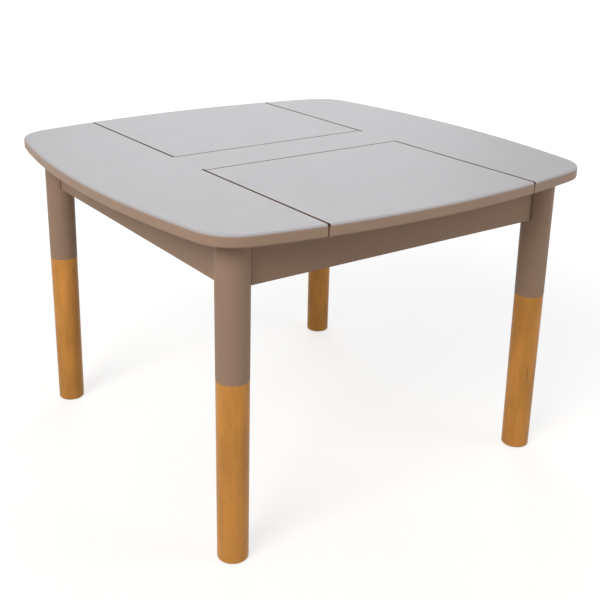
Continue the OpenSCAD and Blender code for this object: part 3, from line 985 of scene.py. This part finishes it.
def add_thread(bm, radius, depth, pitch, low, high, steps=16):
    """Winds a thread round the Z axis past two heights, where it is cut off and closed."""
    turns = math.ceil((high - low) / pitch) + 2
    root = radius - depth
    start = low - 1.5 * pitch
    verts = [
        bm.verts.new((root + crest * depth, 0.0, start + share * pitch)) for crest, share in THREAD]
    edges = [bm.edges.new(pair) for pair in zip(verts, verts[1:])]
    bmesh.ops.spin(
        bm, geom=verts + edges, cent=(0, 0, 0), axis=(0, 0, 1), dvec=(0, 0, pitch / steps),
        angle=FULL_TURN * turns, steps=turns * steps)
    bmesh.ops.remove_doubles(bm, verts=bm.verts, dist=0.01 * pitch)
    for height, way in ((low, -1), (high, 1)):
        bmesh.ops.bisect_plane(
            bm, geom=bm.verts[:] + bm.edges[:] + bm.faces[:], dist=WELD,
            plane_co=(0, 0, height), plane_no=(0, 0, way), clear_outer=True)
        open_edges = [edge for edge in bm.edges if edge.is_boundary]
        rim = [edge for edge in open_edges if abs(edge.verts[0].co.z - height) < 10 * WELD]
        bmesh.ops.contextual_create(bm, geom=rim)
    bmesh.ops.recalc_face_normals(bm, faces=bm.faces)


def add_copies(bm, pattern, matrices):
    """Adds a copy of a pattern mesh at each matrix."""
    for matrix in matrices:
        pattern.transform(matrix)
        bm.from_mesh(pattern)
        pattern.transform(matrix.inverted())


def inward(place):
    """Gives the level direction along the diagonal from a corner towards the table's middle."""
    return Vector((-math.copysign(1.0, place.x), -math.copysign(1.0, place.y), 0.0)).normalized()


def diagonal_length(box):
    """Gives the length of a round piece that lies level along the diagonal, from its box."""
    size = box[1] - box[0]
    return size.x * math.sqrt(2) - size.z


def bolt_pattern(box, pitch):
    """Draws a leg bolt along the Z axis."""
    radius = (box[1] - box[0]).z / 2
    half = diagonal_length(box) / 2
    bm = bmesh.new()
    add_thread(bm, radius, BOLT_THREAD * radius, pitch, -half, half)
    return bm


def washer_pattern(box, bolt_radius):
    """Draws a washer round the Z axis."""
    hole, rim = WASHER_HOLE * bolt_radius, (box[1] - box[0]).z / 2
    half = diagonal_length(box) / 2
    bm = bmesh.new()
    add_turned(bm, ((hole, -half), (rim, -half), (rim, half), (hole, half), (hole, -half)), steps=64)
    return bm


def nut_pattern(width, high, bolt_radius):
    """Draws a nut round the Z axis: a hexagon, chamfered at both ends and bored for the bolt."""
    corner = width / math.sqrt(3)
    bm = bmesh.new()
    bmesh.ops.create_cone(
        bm, cap_ends=True, segments=6, radius1=corner, radius2=corner, depth=high,
        matrix=Matrix.Rotation(math.radians(30), 4, "Z"))
    nut = mesh_object(bm, "nut_blank")
    shoulder = high / 2 - NUT_CHAMFER * corner
    side = [(0.0, high / 2), (NUT_FACE * corner, high / 2), (NUT_BELLY * corner, shoulder)]
    side += [(reach, -height) for reach, height in reversed(side)]
    cut(nut, add_turned, side, NUT_STEPS, operation="INTERSECT")
    cut(nut, add_rod, (0, 0, -high), (0, 0, high), bolt_radius * NUT_BORE)
    bm = bmesh.new()
    bm.from_mesh(nut.data)
    bmesh.ops.remove_doubles(bm, verts=bm.verts, dist=NUT_WELD)
    bpy.data.meshes.remove(nut.data)
    return bm


def nut_height(nut, washer):
    """Gives a nut's height: twice the step from its middle to the washer's inner face."""
    step = (middle_of(nut) - middle_of(washer)).length
    return 2 * (step - diagonal_length(washer) / 2)


def place_copies(bm, boxes, node, name, width=0.0):
    """Puts a copy of a pattern in the middle of each box, along the diagonal, eased or with creases."""
    pattern = bpy.data.meshes.new("pattern")
    bm.to_mesh(pattern)
    bm.free()
    middles = [middle_of(box) for box in boxes]
    whole = bmesh.new()
    add_copies(whole, pattern, [aimed(middle, inward(middle)) for middle in middles])
    bpy.data.meshes.remove(pattern)
    piece = mesh_object(whole, name)
    if width:
        ease(piece, width)
    else:
        piece.data.set_sharp_from_angle(angle=CREASE)
    fit_out(piece, node, "zinc", known("Zinc Plate", zinc_plate))


class KIDSTABLE_OT_leg_bolts(bpy.types.Operator):
    """Build the threaded leg bolts with their washers and nuts"""

    bl_idname = "kids_table.leg_bolts"
    bl_label = "Leg Bolts"

    def execute(self, context):
        hardware = context.scene.kids_table_hardware
        bolts, washers, nuts = (loose_parts(node) for node in ("leg_bolts", "leg_washers", "leg_nuts"))
        radius = (bolts[0][1] - bolts[0][0]).z / 2
        place_copies(
            bolt_pattern(bolts[0], hardware.bolt_pitch), bolts, "leg_bolts", "threaded_leg_bolts")
        place_copies(
            washer_pattern(washers[0], radius), washers, "leg_washers", "leg_bolt_washers",
            hardware.metal_ease)
        high = nut_height(nuts[0], washers[0])
        place_copies(
            nut_pattern(hardware.nut_width, high, radius), nuts, "leg_nuts", "leg_bolt_nuts",
            hardware.metal_ease)
        return {"FINISHED"}


def add_cross(bm, reach, width, depth):
    """Adds the tapered cross of a driver's tip, pointing down from the origin."""
    for turn in (0.0, QUARTER):
        drawn = len(bm.verts)
        add_box(bm, (-reach, -width / 2, -depth), (reach, width / 2, depth))
        blade = bm.verts[drawn:]
        for vert in blade:
            if vert.co.z < 0:
                vert.co.x *= CROSS_TAPER[0]
                vert.co.y *= CROSS_TAPER[1]
        bmesh.ops.rotate(bm, verts=blade, cent=(0, 0, 0), matrix=Matrix.Rotation(turn, 3, "Z"))


def screw_pattern(radius, head_radius, length, head, pitch):
    """Makes a wood screw that points down from its head's top at the origin."""
    bm = bmesh.new()
    stop = -length + THREAD_STOP * radius
    add_thread(bm, radius, SCREW_THREAD * radius, pitch, stop, -head, steps=12)
    profile = [(reach * head_radius, -depth * head) for reach, depth in SCREW_HEAD]
    shank, point = SCREW_CORE * radius, -length + SCREW_POINT * radius
    profile += [(shank, -SCREW_NECK * head), (shank, point), (0.0, -length)]
    core = bmesh.new()
    add_turned(core, profile, steps=32)
    blank = mesh_object(core, "screw_blank")
    reach, width, depth = CROSS
    cut(blank, add_cross, reach * head_radius, width * head_radius, depth * head)
    bm.from_mesh(blank.data)
    bpy.data.meshes.remove(blank.data)
    pattern = bpy.data.meshes.new("screw_pattern")
    bm.to_mesh(pattern)
    bm.free()
    return pattern


class KIDSTABLE_OT_screws(bpy.types.Operator):
    """Build the wood screws that hold the corner blocks to the aprons and to the top"""

    bl_idname = "kids_table.screws"
    bl_label = "Screws"

    def execute(self, context):
        hardware = context.scene.kids_table_hardware
        zinc = known("Zinc Plate", zinc_plate)
        for node, name in (("apron_screws", "apron_wood_screws"), ("top_screws", "top_wood_screws")):
            whole = bmesh.new()
            for low, high in loose_parts(node):
                size = high - low
                along = max(range(3), key=lambda axis: size[axis])
                middle = middle_of((low, high))
                up = Vector()
                up[along] = -math.copysign(1.0, middle[along])
                head_radius = size[(along + 1) % 3] / 2
                pattern = screw_pattern(
                    head_radius / 2, head_radius, size[along], hardware.screw_head, hardware.screw_pitch)
                add_copies(whole, pattern, [aimed(middle + up * size[along] / 2, up)])
                bpy.data.meshes.remove(pattern)
            piece = mesh_object(whole, name)
            piece.data.set_sharp_from_angle(angle=CREASE)
            fit_out(piece, node, "zinc", zinc)
        return {"FINISHED"}


class KIDSTABLE_OT_hinges(bpy.types.Operator):
    """Build the hinge barrels and the link plates between them"""

    bl_idname = "kids_table.hinges"
    bl_label = "Hinges"

    def execute(self, context):
        width = context.scene.kids_table_hardware.metal_ease
        brass = known("Turned Brass", turned_brass)
        steel = known("Stamped Steel", stamped_steel)
        for end in ENDS:
            eased_copy(f"{end}_fixed_barrels", f"{end}_strip_barrels", width, "hinge_brass", brass)
            eased_copy(f"{end}_lid_barrels", f"{end}_flap_barrels", width, "hinge_brass", brass)
            eased_copy(f"{end}_hinge_links", f"{end}_link_plates", width / 2, "hinge_steel", steel)
        return {"FINISHED"}


class KIDSTABLE_OT_pads(bpy.types.Operator):
    """Build the felt buffers under the lids and the glides under the legs"""

    bl_idname = "kids_table.pads"
    bl_label = "Buffers and Glides"

    def execute(self, context):
        felt = known("Pressed Felt", pressed_felt)
        nylon = known("Black Nylon", black_nylon)
        width = context.scene.kids_table_hardware.metal_ease
        for end in ENDS:
            eased_copy(f"{end}_lid_buffers", f"{end}_felt_buffers", width, "felt", felt)
        eased_copy("leg_glides", "nylon_leg_glides", width, "glide", nylon)
        return {"FINISHED"}


# ---- stage ----

FLOOR_GREYS = (0.44, 0.46)  # the floor is mottled between these greys
NEAR_FLOOR = 1.0  # within this distance of the table's middle the lamps light the floor
FAR_FLOOR = 3.2  # past this distance they hardly do
LAMP_TARGET = (0.0, 0.0, 0.3)
LAMPS = (  # name, place, width of the lamp, power in watts, colour
    ("Key Lamp", (-3.8, -1.6, 3.4), 2.4, 138.0, (1.0, 0.94, 0.87)),
    ("Top Lamp", (1.3, 2.05, 1.8), 2.0, 19.0, (0.90, 0.95, 1.0)),
    ("Fill Lamp", (2.0, -2.3, 1.4), 1.8, 15.0, (1.0, 0.97, 0.94)),
)


def seen_share(tree):
    """Gives 1 for what the camera, a reflection or glass sees, and 0 for plain light."""
    rays = tree.nodes.new("ShaderNodeLightPath")
    total = rays.outputs["Is Camera Ray"]
    for kind in ("Is Glossy Ray", "Is Transmission Ray"):
        larger = tree.nodes.new("ShaderNodeMath")
        larger.operation = "MAXIMUM"
        tree.links.new(total, larger.inputs[0])
        tree.links.new(rays.outputs[kind], larger.inputs[1])
        total = larger.outputs["Value"]
    return total


def pale_floor(near_glow, far_glow):
    """A pale matt floor that still shows the table's shadow."""
    finish = Finish("Pale Floor", roughness=0.9, specular=0.1)
    mottle = finish.noise(1.5, detail=3.0)
    dark, pale = ((grey,) * 3 for grey in FLOOR_GREYS)
    finish.colour(finish.blend(finish.varied(mottle), dark, pale))
    away = finish.distance(finish.places, (0.0, 0.0, 0.0))
    glow = finish.spread(away, NEAR_FLOOR, FAR_FLOOR, near_glow, far_glow)
    finish.shader.inputs["Emission Color"].default_value = (1, 1, 1, 1)
    finish.join(finish.times(seen_share(finish.tree), glow), finish.shader.inputs["Emission Strength"])
    return finish.material


def white_world(ambient):
    """A white surround to the eye, and an even neutral light on the table."""
    world = bpy.data.worlds.new("Studio Surround")
    world.use_nodes = True
    tree = world.node_tree
    tree.nodes.clear()
    output = tree.nodes.new("ShaderNodeOutputWorld")
    mixer = tree.nodes.new("ShaderNodeMixShader")
    tree.links.new(seen_share(tree), mixer.inputs["Fac"])
    for slot, strength in ((1, ambient), (2, 1.0)):  # plain light, then what is seen
        light = tree.nodes.new("ShaderNodeBackground")
        light.inputs["Color"].default_value = (1, 1, 1, 1)
        light.inputs["Strength"].default_value = strength
        tree.links.new(light.outputs["Background"], mixer.inputs[slot])
    tree.links.new(mixer.outputs["Shader"], output.inputs["Surface"])
    return world


def add_lamp(name, place, size, power, colour):
    """Adds a soft square lamp that points at the table."""
    lamp = bpy.data.lights.new(name, "AREA")
    lamp.shape = "SQUARE"
    lamp.size = size
    lamp.energy = power
    lamp.color = colour
    thing = bpy.data.objects.new(name, lamp)
    aim = Vector(LAMP_TARGET) - Vector(place)
    thing.matrix_world = Matrix.Translation(place) @ aim.to_track_quat("-Z", "Y").to_matrix().to_4x4()
    bpy.context.scene.collection.objects.link(thing)


class KIDSTABLE_OT_stage(bpy.types.Operator):
    """Build the floor, the surround, the lamps and the camera"""

    bl_idname = "kids_table.stage"
    bl_label = "Stage"

    def execute(self, context):
        stage = context.scene.kids_table_stage
        bm = bmesh.new()
        bmesh.ops.create_grid(
            bm, x_segments=1, y_segments=1, size=stage.floor_size,
            matrix=Matrix.Translation((0, 0, -stage.floor_drop)))
        floor = mesh_object(bm, "pale_floor")
        floor.data.materials.append(pale_floor(stage.near_glow, stage.far_glow))
        context.scene.world = white_world(stage.ambient)
        for lamp in LAMPS:
            add_lamp(*lamp)

        camera = bpy.data.cameras.new("Photo Camera")
        camera.sensor_width = SENSOR
        camera.lens = stage.focal_pixels / PICTURE * SENSOR
        camera.shift_x = 0.5 - stage.centre_pixels[0] / PICTURE
        camera.shift_y = stage.centre_pixels[1] / PICTURE - 0.5
        thing = bpy.data.objects.new("Photo Camera", camera)
        thing.matrix_world = (
            Matrix.Translation(stage.camera_place)
            @ Matrix.Rotation(stage.camera_turn - QUARTER, 4, "Z")
            @ Matrix.Rotation(QUARTER - stage.camera_dip, 4, "X")
            @ Matrix.Rotation(stage.camera_roll, 4, "Z"))
        context.scene.collection.objects.link(thing)
        context.scene.camera = thing
        context.scene.view_settings.view_transform = "Standard"
        return {"FINISHED"}


# ---- panel and registration ----

PIECES = (
    KIDSTABLE_OT_top_panel,
    KIDSTABLE_OT_lids,
    KIDSTABLE_OT_legs,
    KIDSTABLE_OT_aprons,
    KIDSTABLE_OT_walls,
    KIDSTABLE_OT_tray_floors,
    KIDSTABLE_OT_corner_blocks,
    KIDSTABLE_OT_dowels,
    KIDSTABLE_OT_leg_bolts,
    KIDSTABLE_OT_screws,
    KIDSTABLE_OT_hinges,
    KIDSTABLE_OT_pads,
    KIDSTABLE_OT_stage,
)
SETTINGS = {
    "kids_table_timber": TimberSettings,
    "kids_table_hardware": HardwareSettings,
    "kids_table_finish": FinishSettings,
    "kids_table_stage": StageSettings,
}


class KIDSTABLE_PT_sidebar(bpy.types.Panel):
    """Lists the pieces of the kids table and their settings"""

    bl_idname = "KIDSTABLE_PT_sidebar"
    bl_label = "Kids Table"
    bl_space_type = "VIEW_3D"
    bl_region_type = "UI"
    bl_category = "Kids Table"

    def draw(self, context):
        layout = self.layout
        for piece in PIECES:
            layout.operator(piece.bl_idname)
        for name, group in SETTINGS.items():
            box = layout.box()
            for field in group.__annotations__:
                box.prop(getattr(context.scene, name), field)


def register():
    """Registers the classes and hangs the settings on the scene."""
    for group in SETTINGS.values():
        bpy.utils.register_class(group)
    for piece in PIECES:
        bpy.utils.register_class(piece)
    bpy.utils.register_class(KIDSTABLE_PT_sidebar)
    for name, group in SETTINGS.items():
        setattr(bpy.types.Scene, name, PointerProperty(type=group))


def unregister():
    """Takes the settings and the classes away again."""
    for name in SETTINGS:
        delattr(bpy.types.Scene, name)
    bpy.utils.unregister_class(KIDSTABLE_PT_sidebar)
    for piece in reversed(PIECES):
        bpy.utils.unregister_class(piece)
    for group in SETTINGS.values():
        bpy.utils.unregister_class(group)


def main():
    """Builds every piece and the stage."""
    register()
    bpy.ops.kids_table.top_panel()
    bpy.ops.kids_table.lids()
    bpy.ops.kids_table.legs()
    bpy.ops.kids_table.aprons()
    bpy.ops.kids_table.walls()
    bpy.ops.kids_table.tray_floors()
    bpy.ops.kids_table.corner_blocks()
    bpy.ops.kids_table.dowels()
    bpy.ops.kids_table.leg_bolts()
    bpy.ops.kids_table.screws()
    bpy.ops.kids_table.hinges()
    bpy.ops.kids_table.pads()
    bpy.ops.kids_table.stage()


if __name__ == "__main__":
    main()
